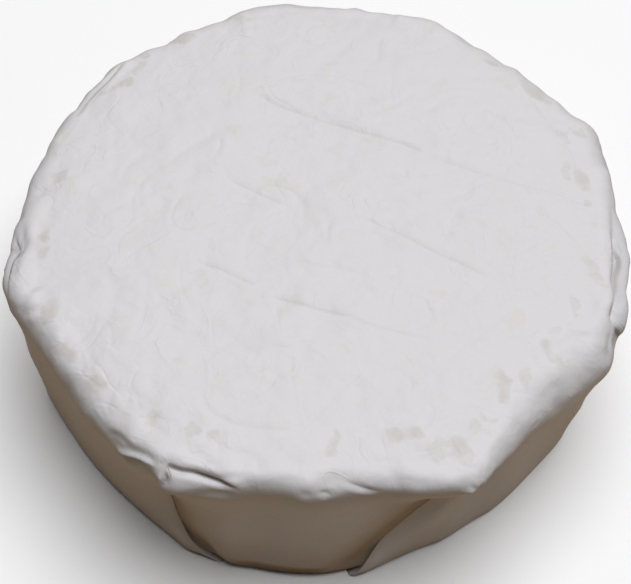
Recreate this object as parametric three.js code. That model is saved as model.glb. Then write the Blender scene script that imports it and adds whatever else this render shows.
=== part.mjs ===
// A soft-ripened cheese wheel shut in thin white wrapping paper.
// Millimetres, +Z up, resting on Z = 0 and centred on its outline.
//
// The paper is one square sheet. Its middle covers the top of the wheel. Its four corners hang down as
// smooth flaps, and the four stretches between them are tucked under those flaps, so that each shows as
// a panel that narrows towards the foot. The rim therefore has eight soft corners, two for each panel.
// All of it is one closed skin: a grid over the top, rows of points down the side, rings underneath.
import * as THREE from 'three';

// ---------------------------------------------------------------- driving dimensions (mm, degrees)
const HEIGHT = 37;
const RADIUS = 54.5; // from the axis to the middle of a panel, at the rim
const FOOT_INSET = 1.1; // how far the side leans in from rim to foot
const PANEL_RIM_ROUND = 4.2; // rounding of the rim where the paper is pulled tight, as over a panel
const MIDDLE_RIM_ROUND = 5; // where the rows of points change from rim to side
const FLAP_FOOT = { height: 2, depth: 2 }; // rounding of the foot under a smooth flap
const PANEL_FOOT = { height: 3.6, depth: 1.5 }; // and under a tucked panel
const CORNER_SOFTNESS = 2; // degrees over which a corner of the outline is rounded
const STEP_WIDTH = 0.5; // degrees across the step at a flap's free edge
const FLAP_LIFT = 0.5; // how far a free edge stands off the side
const FLAP_LIFT_WIDTH = 6;
const EDGE_FADE = 6; // height above its top over which a free edge dies out into the rim
const HOLLOW_FOOT = 7; // height over which the hollow beside a free edge grows to its full depth
const HOLLOW_FOOT_SHARE = 0.35; // share of that depth which it has at the foot
const SHARE_FADE = 12; // degrees over which a larger rounding of the rim dies out at either end
const FOLD_RECESS = 0.5; // how far a tucked panel lies above the flaps, underneath

// Eight corners of the rim, counter-clockwise from the front left. reach is the distance from the axis
// at the rim, foot the same at the foot, and fade the share of the height over which one becomes the
// other. swell and footSwell are how far the stretch up to the next corner stands out from the radius.
const CORNERS = [
  { angle: -113, reach: 59.2, foot: 55.9, fade: 0.55, swell: 0.2, footSwell: 1.8 },
  { angle: -63, reach: 59.2, foot: 54, fade: 0.5, swell: -0.1, footSwell: -0.8 },
  { angle: -28, reach: 57.9, foot: 54.8, fade: 1, swell: -0.2, footSwell: 0.2 },
  { angle: 25, reach: 58.7, foot: 55.8, fade: 1, swell: 0.5, footSwell: 0 },
  { angle: 68, reach: 57.7, foot: 55.6, fade: 1, swell: 0.4, footSwell: 0.5 },
  { angle: 103, reach: 57.2, foot: 55.4, fade: 1, swell: 0.6, footSwell: -0.3 },
  { angle: 139, reach: 56.2, foot: 55.2, fade: 1, swell: -0.8, footSwell: 0.4 },
  { angle: 200, reach: 57.4, foot: 56, fade: 1, swell: 0, footSwell: -0.3 },
];

// Where the paper goes round the rim more loosely, over the flaps, and how large the rounding is there.
const LOOSE_RIMS = [
  { from: -50, to: -29, size: 8 },
  { from: 23, to: 67, size: 6.5 },
  { from: 104, to: 138, size: 5.5 },
  { from: 201, to: 244.4, size: 6 },
];

// Smaller swellings of the side: where they are, how wide, and how far out at the rim and at the foot.
const SWELLS = [
  { angle: -135, width: 8, swell: 0.9, footSwell: 0 },
  { angle: -122, width: 8, swell: 2.2, footSwell: 0 },
  { angle: -115, width: 5, swell: -0.5, footSwell: -0.6 },
  { angle: -105.5, width: 4, swell: 1.4, footSwell: 0.9 },
  { angle: -98, width: 4, swell: -1.1, footSwell: 0 },
  { angle: -90, width: 6, swell: 0.3, footSwell: -0.5 },
  { angle: -77, width: 6, swell: -0.7, footSwell: 0 },
  { angle: -70, width: 12, swell: 0, footSwell: -1.5 },
  { angle: -65, width: 4, swell: 1.4, footSwell: 0 },
  { angle: -58, width: 6, swell: -2, footSwell: -0.6 },
];

// Four tucked panels, each between the free edges of two flaps. An edge leaves the rim at start, shows
// in full below the height top, and has swept sweep degrees over the panel at the foot along a path of
// that bend. gutter is the depth of the hollow beside it, and width how far that reaches.
const PANELS = [
  {
    left: { start: -115.6, sweep: 9.8, top: 28, bend: 4.4, gutter: 1.1, width: 2.8 },
    right: { start: -66.4, sweep: 16.2, top: 24, bend: 1, gutter: 1.6, width: 5 },
  },
  {
    left: { start: -29, sweep: 15, top: 25, bend: 1.1, gutter: 1.2, width: 3.2 },
    right: { start: 23, sweep: 12, top: 26, bend: 0.8, gutter: 1.5, width: 3.8 },
  },
  {
    left: { start: 67, sweep: 8, top: 24, bend: 1.2, gutter: 0.9, width: 2.6 },
    right: { start: 104, sweep: 11, top: 26, bend: 0.8, gutter: 1.4, width: 3.4 },
  },
  {
    left: { start: 138, sweep: 18, top: 25, bend: 0.9, gutter: 1.6, width: 4.2 },
    right: { start: 201, sweep: 17, top: 26, bend: 1.2, gutter: 1.1, width: 3 },
  },
];

// Spare paper rolled over at the rim: a shadowed crease with a rounded pleat outside it.
// crease and roll are places on the rim's rounding, from 0 on the top to 90 on the side.
// lowEnd and highEnd are the degrees over which either end dies out.
const PLEATS = [
  { from: -127, to: -100, lowEnd: 5, highEnd: 4, crease: 34, sunk: 0.8, roll: 64, raised: 0.7 },
  { from: -24, to: 9, lowEnd: 4, highEnd: 15, crease: 46, sunk: 0.9, roll: 76, raised: 1.2 },
  { from: 183, to: 200.5, lowEnd: 7, highEnd: 7, crease: 40, sunk: 0.7, roll: 72, raised: 1 },
  { from: 72, to: 88, lowEnd: 4, highEnd: 4, crease: 58, sunk: 0.8, roll: 88, raised: 0.8 },
];
const CREASE_WIDTH = 12;
const ROLL_WIDTH = 22;
const ROLL_RATE = 8; // degrees of that place for each millimetre further down the side

// Marks of the drying rack, which show through the paper: straight grooves, and ridges where depth is
// below zero, between two points (x, y) from the axis.
const RACK_HALF_WIDTH = 1.2;
const RACK_END = 4; // length over which a mark fades out
const RACK_MARKS = [
  { from: [-13.3, 27.2], to: [19, 14.6], depth: 0.3 },
  { from: [18, 14.6], to: [49.5, 3.3], depth: 0.25 },
  { from: [12, 6.6], to: [33, -3], depth: -0.15 },
  { from: [-17.5, 6.6], to: [-6, 0.8], depth: 0.25 },
  { from: [7, -1], to: [30, -13.8], depth: 0.3 },
  { from: [-5.5, -11], to: [9, -14.1], depth: 0.15 },
  { from: [15.5, -15.6], to: [25, -20], depth: -0.15 },
  { from: [-22, -12], to: [-10.5, -17], depth: 0.25 },
  { from: [-8.5, -19], to: [6, -23.3], depth: 0.3 },
  { from: [3, -22.4], to: [20, -27], depth: 0.25 },
];
const TOP_WAVES = [{ height: 0.2, length: 46 }, { height: 0.1, length: 17 }];
const SIDE_WAVES = [{ height: 0.15, turns: 5 }, { height: 0.1, turns: 11 }];
const SHOULDER_DROP = 0.8; // how far the top has sunk where the rim's rounding begins
const SHOULDER_POWER = 8;

// ---------------------------------------------------------------- how finely the skin is divided
const GRID_HALF = 18; // cells from the middle of the top to the rim
const COLUMNS = 8 * GRID_HALF;
const PANEL_COLUMNS = 14;
const FLAP_COLUMNS = COLUMNS / PANELS.length - PANEL_COLUMNS;
const EDGE_CROWDING = 0.35; // how much closer columns stand beside a free edge
const RIM_ROWS = 6;
const SIDE_ROWS = 9;
const FOOT_ROWS = 3;
const BASE_RINGS = [0.88, 0.74, 0.58];
const PATCH_RADIUS = 20; // flat middle of the underside
const PATCH_POINTS = 36;
const FOLD_MEET = 0.6; // share of the foot's radius at which two neighbouring flaps meet underneath
const FOLD_SLIT = 0.1; // share of a tucked panel's width that is left there

// ---------------------------------------------------------------- small helpers
const radians = THREE.MathUtils.degToRad;
const mix = THREE.MathUtils.lerp;
const ramp = THREE.MathUtils.smoothstep; // (value, where it is 0, where it is 1)
const bell = (distance, width) => Math.exp(-((distance / width) ** 2));
const turnBetween = (a, b) => THREE.MathUtils.euclideanModulo(a - b + 180, 360) - 180;

// 1 inside the stretch from..to, falling to 0 over the given length at either end.
function within(value, from, to, lowEnd, highEnd) {
  return ramp(value, from, from + lowEnd) * (1 - ramp(value, to - highEnd, to));
}

// ---------------------------------------------------------------- outline of the side
// Distance from the axis to the round wheel itself, which swells a little between its corners.
function roundRadius(angle, drop) {
  const overStretches = CORNERS.reduce((radius, corner, i) => {
    const next = CORNERS[(i + 1) % CORNERS.length];
    const length = THREE.MathUtils.euclideanModulo(next.angle - corner.angle, 360);
    const offset = turnBetween(angle, corner.angle + length / 2);
    return radius + mix(corner.swell, corner.footSwell, drop) * bell(offset, length / 2);
  }, RADIUS);
  return SWELLS.reduce((radius, place) => {
    const offset = turnBetween(angle, place.angle);
    return radius + mix(place.swell, place.footSwell, drop) * bell(offset, place.width);
  }, overStretches);
}

// Paper drawn straight from a corner to the round wheel: the tangent from the corner to the circle.
function tentReach(angle, corner, drop) {
  const radius = roundRadius(angle, drop);
  const reach = mix(corner.reach, corner.foot, ramp(drop, 0, corner.fade));
  const spread = radians(CORNER_SOFTNESS) + Math.acos(Math.min(1, radius / reach));
  const offset = radians(turnBetween(angle, corner.angle));
  const rounded = Math.hypot(offset, radians(CORNER_SOFTNESS));
  return rounded < spread ? radius / Math.cos(spread - rounded) : radius;
}

// Slow buckles of the paper round the side, none of them at the rim.
function sideWave(angle, drop) {
  const wave = SIDE_WAVES.reduce((sum, { height, turns }) => {
    return sum + height * Math.sin(turns * (radians(angle) + drop / 2));
  }, 0);
  return wave * ramp(drop, 0, 0.3);
}

function sideRadius(angle, z) {
  const drop = 1 - z / HEIGHT;
  const reach = Math.max(...CORNERS.map((corner) => tentReach(angle, corner, drop)));
  return reach - FOOT_INSET * drop + sideWave(angle, drop);
}

function rimRound(angle) {
  return LOOSE_RIMS.reduce((round, { from, to, size }) => {
    const half = (to - from) / 2;
    const away = Math.abs(turnBetween(angle, from + half));
    return round + (size - PANEL_RIM_ROUND) * (1 - ramp(away, half, half + SHARE_FADE));
  }, PANEL_RIM_ROUND);
}

const footRound = (column) => (column.tucked ? PANEL_FOOT : FLAP_FOOT);

// ---------------------------------------------------------------- free edges of the flaps
// Where a free edge stands at height z: it sweeps over the panel on its way to the foot.
function edgeAngle(edge, z, direction) {
  const way = THREE.MathUtils.clamp(1 - z / edge.top, 0, 1);
  return edge.start + direction * edge.sweep * way ** edge.bend;
}

// The left and right free edges of every panel at height z. Underneath, inward says how far along its
// radius the ring lies from the foot, and each panel narrows until its two flaps meet.
function freeEdges(z, inward) {
  const narrowing = Math.max(FOLD_SLIT, 1 - (1 - FOLD_SLIT) * (inward / (1 - FOLD_MEET)));
  return PANELS.map(({ left, right }) => {
    const from = edgeAngle(left, z, 1);
    const to = edgeAngle(right, z, -1);
    const middle = (from + to) / 2;
    return { from: mix(middle, from, narrowing), to: mix(middle, to, narrowing) };
  });
}

// Columns run from rim to foot and follow the free edges: one set on each panel, one on each flap.
function columnsAt(z, inward = 0) {
  const edges = freeEdges(z, inward);
  const columns = [];
  const addStretch = (from, to, count, stretch) => {
    for (let i = 0; i < count; i += 1) {
      const share = i / (count - 1);
      const crowded = share - (EDGE_CROWDING / (2 * Math.PI)) * Math.sin(2 * Math.PI * share);
      const angle = mix(from + STEP_WIDTH / 2, to - STEP_WIDTH / 2, crowded);
      columns.push({ angle, from, to, ...stretch });
    }
  };
  edges.forEach(({ from, to }, i) => {
    const next = (i + 1) % PANELS.length;
    const flapEnd = edges[next].from + (next ? 0 : 360);
    const { left, right } = PANELS[i];
    addStretch(from, to, PANEL_COLUMNS, { tucked: true, first: left, last: right });
    addStretch(to, flapEnd, FLAP_COLUMNS, { tucked: false, first: right, last: PANELS[next].left });
  });
  return columns;
}

// The hollow beside each free edge on a tucked panel, or the edge's own lift on a flap.
function edgeRelief(column, z) {
  const besideEdge = (edge, degrees) => {
    const distance = radians(degrees) * RADIUS;
    const shows = 1 - ramp(z, edge.top, edge.top + EDGE_FADE);
    const depth = edge.gutter * mix(HOLLOW_FOOT_SHARE, 1, ramp(z, 0, HOLLOW_FOOT));
    const hollow = -depth * bell(distance, edge.width);
    return shows * (column.tucked ? hollow : FLAP_LIFT * bell(distance, FLAP_LIFT_WIDTH));
  };
  const besideFirst = besideEdge(column.first, column.angle - column.from);
  return besideFirst + besideEdge(column.last, column.to - column.angle);
}

// ---------------------------------------------------------------- relief of the rim and of the top
function pleatRelief(angle, slope) {
  return PLEATS.reduce((sum, pleat) => {
    const middle = (pleat.from + pleat.to) / 2;
    const half = (pleat.to - pleat.from) / 2;
    const shows = within(turnBetween(angle, middle), -half, half, pleat.lowEnd, pleat.highEnd);
    const sunk = pleat.sunk * bell(slope - pleat.crease, CREASE_WIDTH);
    const raised = pleat.raised * bell(slope - pleat.roll, ROLL_WIDTH);
    return sum + shows * (raised - sunk);
  }, 0);
}

function rackRelief(x, y) {
  return RACK_MARKS.reduce((sum, { from, to, depth }) => {
    const length = Math.hypot(to[0] - from[0], to[1] - from[1]);
    const wayX = (to[0] - from[0]) / length;
    const wayY = (to[1] - from[1]) / length;
    const along = (x - from[0]) * wayX + (y - from[1]) * wayY;
    const across = (y - from[1]) * wayX - (x - from[0]) * wayY;
    const shows = within(along, 0, length, RACK_END, RACK_END);
    return sum - depth * shows * bell(across, RACK_HALF_WIDTH);
  }, 0);
}

// Height of the top, where share is how far out the place lies on its way to the rim.
function topHeight(x, y, share) {
  const waves = TOP_WAVES.reduce((sum, { height, length }) => {
    const turn = (2 * Math.PI) / length;
    return sum + height * Math.sin(turn * (x + y / 2)) * Math.cos(turn * (y - x / 3));
  }, 0);
  return HEIGHT - SHOULDER_DROP * share ** SHOULDER_POWER + waves * (1 - share ** 4) + rackRelief(x, y);
}

// ---------------------------------------------------------------- the skin
const vertices = [];
const triangles = [];

function addPoint(angle, radius, z) {
  vertices.push(radius * Math.cos(radians(angle)), radius * Math.sin(radians(angle)), z);
  return vertices.length / 3 - 1;
}

// A point on the rim's rounding, where slope runs from 0 on the top to 90 on the side.
function addRimPoint(column, slope) {
  const round = rimRound(column.angle);
  const relief = pleatRelief(column.angle, slope);
  const sideways = Math.sin(radians(slope));
  const upwards = Math.cos(radians(slope));
  const z = HEIGHT - round * (1 - upwards) - SHOULDER_DROP * upwards ** 2;
  const radius = sideRadius(column.angle, z) - round * (1 - sideways);
  return addPoint(column.angle, radius + relief * sideways, z + relief * upwards);
}

// Ring of the top's square grid that a cell corner lies on, and its place round that ring as a share.
function gridPlace(i, j) {
  const ring = Math.max(Math.abs(i), Math.abs(j));
  if (ring === 0) return { ring, share: 0 };
  let step = j + ring;
  if (j === ring) step = 3 * ring - i;
  if (i === -ring) step = 5 * ring - j;
  if (j === -ring && i < ring) step = 7 * ring + i;
  return { ring, share: (step / (8 * ring)) % 1 };
}

// The top is a square grid drawn out to the round rim, so that its cells are all of one size.
function buildTop(rimColumns) {
  const grid = new Map();
  const rimRow = new Array(COLUMNS);
  const turnAt = (share) => {
    const place = share * COLUMNS;
    const before = Math.floor(place);
    const after = before + 1;
    const end = after < COLUMNS ? rimColumns[after].angle : rimColumns[0].angle + 360;
    return mix(rimColumns[before].angle, end, place - before);
  };
  for (let i = -GRID_HALF; i <= GRID_HALF; i += 1) {
    for (let j = -GRID_HALF; j <= GRID_HALF; j += 1) {
      const { ring, share } = gridPlace(i, j);
      const out = ring / GRID_HALF;
      if (ring === GRID_HALF) {
        const column = Math.round(share * COLUMNS);
        rimRow[column] = addRimPoint(rimColumns[column], 0);
        grid.set(`${i},${j}`, rimRow[column]);
      } else {
        const even = rimColumns[0].angle + 360 * share;
        const angle = mix(even, turnAt(share), out ** 2);
        const radius = out * (sideRadius(angle, HEIGHT) - rimRound(angle));
        const x = radius * Math.cos(radians(angle));
        const y = radius * Math.sin(radians(angle));
        grid.set(`${i},${j}`, addPoint(angle, radius, topHeight(x, y, out)));
      }
    }
  }
  for (let i = -GRID_HALF; i < GRID_HALF; i += 1) {
    for (let j = -GRID_HALF; j < GRID_HALF; j += 1) {
      const corners = [[i, j], [i + 1, j], [i + 1, j + 1], [i, j + 1]];
      const [a, b, c, d] = corners.map(([column, row]) => grid.get(`${column},${row}`));
      if ((i < 0) === (j < 0)) {
        triangles.push(a, b, c, a, c, d);
      } else {
        triangles.push(a, b, d, b, c, d);
      }
    }
  }
  return rimRow;
}

// Joins an upper row of the side to the row below it.
function joinRows(upper, lower) {
  for (let i = 0; i < upper.length; i += 1) {
    const next = (i + 1) % upper.length;
    triangles.push(upper[i], lower[i], lower[next], upper[i], lower[next], upper[next]);
  }
}

// Joins a row to one with fewer points, where each point of that row serves several of the first.
function joinToFewer(outer, inner) {
  const group = outer.length / inner.length;
  const serving = (i) => Math.round(i / group) % inner.length;
  for (let i = 0; i < outer.length; i += 1) {
    const next = (i + 1) % outer.length;
    const near = inner[serving(i)];
    const after = inner[serving(i + 1)];
    triangles.push(outer[i], near, outer[next]);
    if (near !== after) triangles.push(outer[next], near, after);
  }
}

// Fills a flat ring of points with long triangles, zigzagging from side to side.
function fillPatch(ring) {
  let low = 0;
  let high = ring.length - 1;
  while (high - low > 1) {
    triangles.push(ring[low], ring[high], ring[low + 1]);
    low += 1;
    if (high - low > 1) {
      triangles.push(ring[low], ring[high], ring[high - 1]);
      high -= 1;
    }
  }
}

function buildSide(rimRow) {
  let row = rimRow;
  const addRow = (columns, makePoint) => {
    const next = columns.map(makePoint);
    joinRows(row, next);
    row = next;
  };
  const middleFoot = (FLAP_FOOT.height + PANEL_FOOT.height) / 2;
  for (let i = 1; i <= RIM_ROWS; i += 1) {
    const slope = (90 * i) / RIM_ROWS;
    const level = HEIGHT - MIDDLE_RIM_ROUND * (1 - Math.cos(radians(slope)));
    addRow(columnsAt(level), (column) => addRimPoint(column, slope));
  }
  for (let i = 1; i <= SIDE_ROWS; i += 1) {
    const share = i / SIDE_ROWS;
    addRow(columnsAt(mix(HEIGHT - MIDDLE_RIM_ROUND, middleFoot, share)), (column) => {
      const top = HEIGHT - rimRound(column.angle);
      const z = mix(top, footRound(column).height, share);
      const below = 90 + (top - z) * ROLL_RATE;
      const relief = edgeRelief(column, z) + pleatRelief(column.angle, below);
      return addPoint(column.angle, sideRadius(column.angle, z) + relief, z);
    });
  }
  for (let i = 1; i <= FOOT_ROWS; i += 1) {
    const slope = radians((90 * i) / FOOT_ROWS);
    addRow(columnsAt(middleFoot * (1 - Math.sin(slope))), (column) => {
      const { height, depth } = footRound(column);
      const recess = column.tucked ? FOLD_RECESS * Math.sin(slope) : 0;
      const z = height * (1 - Math.sin(slope));
      const relief = edgeRelief(column, z) * Math.cos(slope / 2);
      const radius = sideRadius(column.angle, z) + relief - depth * (1 - Math.cos(slope));
      return addPoint(column.angle, radius, z + recess);
    });
  }
  return row;
}

function buildBase(footRow) {
  let row = footRow;
  BASE_RINGS.forEach((share) => {
    const inward = 1 - share;
    const next = columnsAt(0, inward).map((column) => {
      const radius = share * (sideRadius(column.angle, 0) - FLAP_FOOT.depth);
      const shows = ramp(share, FOLD_MEET, 1);
      return addPoint(column.angle, radius, column.tucked ? FOLD_RECESS * shows : 0);
    });
    joinRows(row, next);
    row = next;
  });
  const patch = [];
  for (let i = 0; i < PATCH_POINTS; i += 1) {
    const { angle } = columnsAt(0, 1)[(i * COLUMNS) / PATCH_POINTS];
    patch.push(addPoint(angle, PATCH_RADIUS, 0));
  }
  joinToFewer(row, patch);
  fillPatch(patch);
}

function wheelGeometry() {
  const rimRow = buildTop(columnsAt(HEIGHT));
  const footRow = buildSide(rimRow);
  buildBase(footRow);
  const geometry = new THREE.BufferGeometry();
  geometry.setAttribute('position', new THREE.Float32BufferAttribute(vertices, 3));
  geometry.setIndex(triangles);
  geometry.computeBoundingBox();
  const middle = geometry.boundingBox.getCenter(new THREE.Vector3());
  geometry.translate(-middle.x, -middle.y, 0);
  geometry.computeVertexNormals();
  return geometry;
}

// ---------------------------------------------------------------- the finished object
const paper = new THREE.MeshStandardMaterial({ color: 0xd9d7d8, roughness: 0.62, metalness: 0 });
const wheel = new THREE.Mesh(wheelGeometry(), paper);
wheel.name = 'wrapped_wheel';

const cheese = new THREE.Group();
cheese.add(wheel);

export default cheese;
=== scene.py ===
"""A soft-ripened cheese wheel shut in thin white wrapping paper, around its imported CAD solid.

Lengths in the tables are millimetres and angles degrees, counter-clockwise from +X, as in the CAD.
The paper is one square sheet: its middle covers the top, its corners hang down as four smooth flaps,
and the four stretches between them are tucked under those flaps.
"""
import math

import bpy
import numpy as np
from mathutils import Matrix, Vector


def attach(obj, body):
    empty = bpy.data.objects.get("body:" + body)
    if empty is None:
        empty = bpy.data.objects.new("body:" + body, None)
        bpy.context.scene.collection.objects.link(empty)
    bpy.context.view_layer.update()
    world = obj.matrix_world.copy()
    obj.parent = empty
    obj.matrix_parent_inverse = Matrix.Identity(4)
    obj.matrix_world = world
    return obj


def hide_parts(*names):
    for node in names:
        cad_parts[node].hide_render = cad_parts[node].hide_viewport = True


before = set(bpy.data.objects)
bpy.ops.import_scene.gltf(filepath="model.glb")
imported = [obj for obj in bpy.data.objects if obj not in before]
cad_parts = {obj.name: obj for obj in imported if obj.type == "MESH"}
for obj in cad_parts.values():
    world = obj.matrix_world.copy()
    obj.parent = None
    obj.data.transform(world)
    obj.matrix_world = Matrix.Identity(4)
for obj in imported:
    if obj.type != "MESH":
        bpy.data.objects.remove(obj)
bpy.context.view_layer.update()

# -------------------- the wheel, from the same sizes as its solid
MM = 0.001
HEIGHT = 37.0
RADIUS = 54.5  # from the axis to the middle of a panel, at the rim
FOOT_INSET = 1.1  # how far the side leans in from rim to foot
SHOULDER_DROP = 0.8  # how much lower the top is at the rim than in the middle, and how late it falls
SHOULDER_POWER = 8
# Where the paper goes round the rim more loosely, over the flaps: from, to and the rounding there.
RIM_ROUNDS = [(-50, -29, 8.0), (23, 67, 6.5), (104, 138, 5.5), (201, 244.4, 6.0)]
PANEL_RIM_ROUND = 4.2  # the rounding everywhere else
SHARE_FADE = 12.0  # degrees over which one rounding becomes the other
MIDDLE_RIM_ROUND = 5.0  # where the rows of points change from rim to side
FLAP_FOOT = (2.0, 2.0)  # height and depth of the foot's rounding under a smooth flap
PANEL_FOOT = (3.6, 1.5)  # and under a tucked panel
CORNER_SOFTNESS = 2.0  # degrees over which the tip of a corner is rounded off
FLAP_LIFT = 0.5  # how far a flap's free edge stands off the side, and how much of the flap does so
FLAP_LIFT_WIDTH = 6.0
EDGE_FADE = 6.0  # height above its top over which a free edge dies out into the rim
FOLD_RECESS = 0.5  # how far a tucked panel lies above the flaps, underneath

# Corners of the rim: angle, reach at the rim, reach at the foot, share of the height over which one
# becomes the other, and how far the stretch up to the next corner swells at the rim and at the foot.
CORNERS = [
    (-113, 59.2, 55.9, 0.55, 0.2, 1.8),
    (-63, 59.2, 54.0, 0.5, -0.1, -0.8),
    (-28, 57.9, 54.8, 1.0, -0.2, 0.2),
    (25, 58.7, 55.8, 1.0, 0.5, 0.0),
    (68, 57.7, 55.6, 1.0, 0.4, 0.5),
    (103, 57.2, 55.4, 1.0, 0.6, -0.3),
    (139, 56.2, 55.2, 1.0, -0.8, 0.4),
    (200, 57.4, 56.0, 1.0, 0.0, -0.3),
]

# Smaller swellings of the side: angle, half-width, and how far out at the rim and at the foot.
SWELLS = [
    (-135, 8, 0.9, 0), (-122, 8, 2.2, 0), (-115, 5, -0.5, -0.6), (-105.5, 4, 1.4, 0.9), (-98, 4, -1.1, 0),
    (-90, 6, 0.3, -0.5), (-77, 6, -0.7, 0), (-70, 12, 0, -1.5), (-65, 4, 1.4, 0), (-58, 6, -2, -0.6),
]

# Tucked panels: the free edge on the left, then the one on the right. Each edge has its start on the
# rim, its sweep over the panel at the foot, the height where it begins, the bend of its path, the
# depth and width of the hollow beside it, and how far it stands off the panel.
PANELS = [
    ((-115.6, 9.8, 28, 4.4, 1.1, 2.8, 0.25), (-66.4, 16.2, 24, 1.0, 1.6, 5.0, 0.12)),
    ((-29, 15, 25, 1.1, 1.2, 3.2, 0.6), (23, 12, 26, 0.8, 1.5, 3.8, 0.6)),
    ((67, 8, 24, 1.2, 0.9, 2.6, 0.6), (104, 11, 26, 0.8, 1.4, 3.4, 0.6)),
    ((138, 18, 25, 0.9, 1.6, 4.2, 0.6), (201, 17, 26, 1.2, 1.1, 3.0, 0.6)),
]

# Pleats rolled over at the rim: from, to, length of either end, then the place on the rim's rounding
# (0 on the top, 90 on the side) and depth of the hollow, and the place and height of the roll.
PLEATS = [
    (-114, -100, 3, 4, 30, 0.3, 60, 0.35),
    (-24, 9, 4, 15, 46, 0.7, 76, 1.2),
    (183, 200.5, 7, 7, 40, 0.5, 72, 1.0),
    (72, 88, 4, 4, 58, 0.8, 88, 0.8),
]
HOLLOW_WIDTH = 12.0  # half-width of the hollow, and of the roll, in degrees of the rim's rounding
ROLL_WIDTH = 22.0
ROLL_RATE = 8.0  # how many of those degrees a millimetre of the side counts for

TOP_WAVES = [(0.2, 46.0), (0.1, 17.0)]  # height and length
SIDE_WAVES = [(0.15, 5), (0.1, 11)]  # height and turns
SIDE_WAVE_START = 0.3  # share of the height, below the rim, over which they grow

# Marks of the drying rack: points (x, y) from the axis, then the half-width and depth of the groove, the
# height of the fold on the right of the line, how much lower the paper lies there, and how dark the
# painted shade on the line itself is, from 0 to 1.
RACK_MARKS = [
    ([(-13.3, 28), (-9.1, 25.1), (-1.7, 22.1), (8.7, 18.4), (17.1, 15.6), (19, 14.6)],
     0.7, 0.24, 0.09, 0.08, 0.1),
    ([(18, 14.6), (21.1, 12.9), (32.6, 8.8), (41.5, 6), (49.5, 3.3)], 0.6, 0.16, 0.07, 0.04, 0.05),
    ([(12, 6.6), (14.2, 5.6), (22.7, 2.1), (31.1, -2.1), (33, -3)], 0.5, -0.1, 0.05, 0, 0),
    ([(-17.5, 6.6), (-13, 4.1), (-8.3, 1.7), (-6, 0.8)], 0.55, 0.16, 0.07, 0.05, 0.1),
    ([(7, -1), (8.8, -2), (18.5, -7.3), (27.7, -12.6), (30, -13.8)], 0.55, 0.17, 0.07, 0.05, 0.09),
    ([(-5.5, -11), (2, -12.6), (9, -14.1)], 0.55, 0.1, 0.05, 0.03, 0.04),
    ([(15.5, -15.6), (22.9, -19.1), (25, -20)], 0.5, -0.1, 0.04, 0, 0),
    ([(-22, -12), (-20.7, -12.6), (-12.6, -16.1), (-10.5, -17)], 0.55, 0.16, 0.06, 0.05, 0.08),
    ([(-8.5, -19), (-2.1, -20.8), (2.2, -22.1), (6, -23.3)], 0.7, 0.22, 0.07, 0.07, 0.12),
    ([(3, -22.4), (9.8, -24.4), (17.4, -26.4), (20, -27)], 0.55, 0.16, 0.06, 0.04, 0.06),
]

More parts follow.
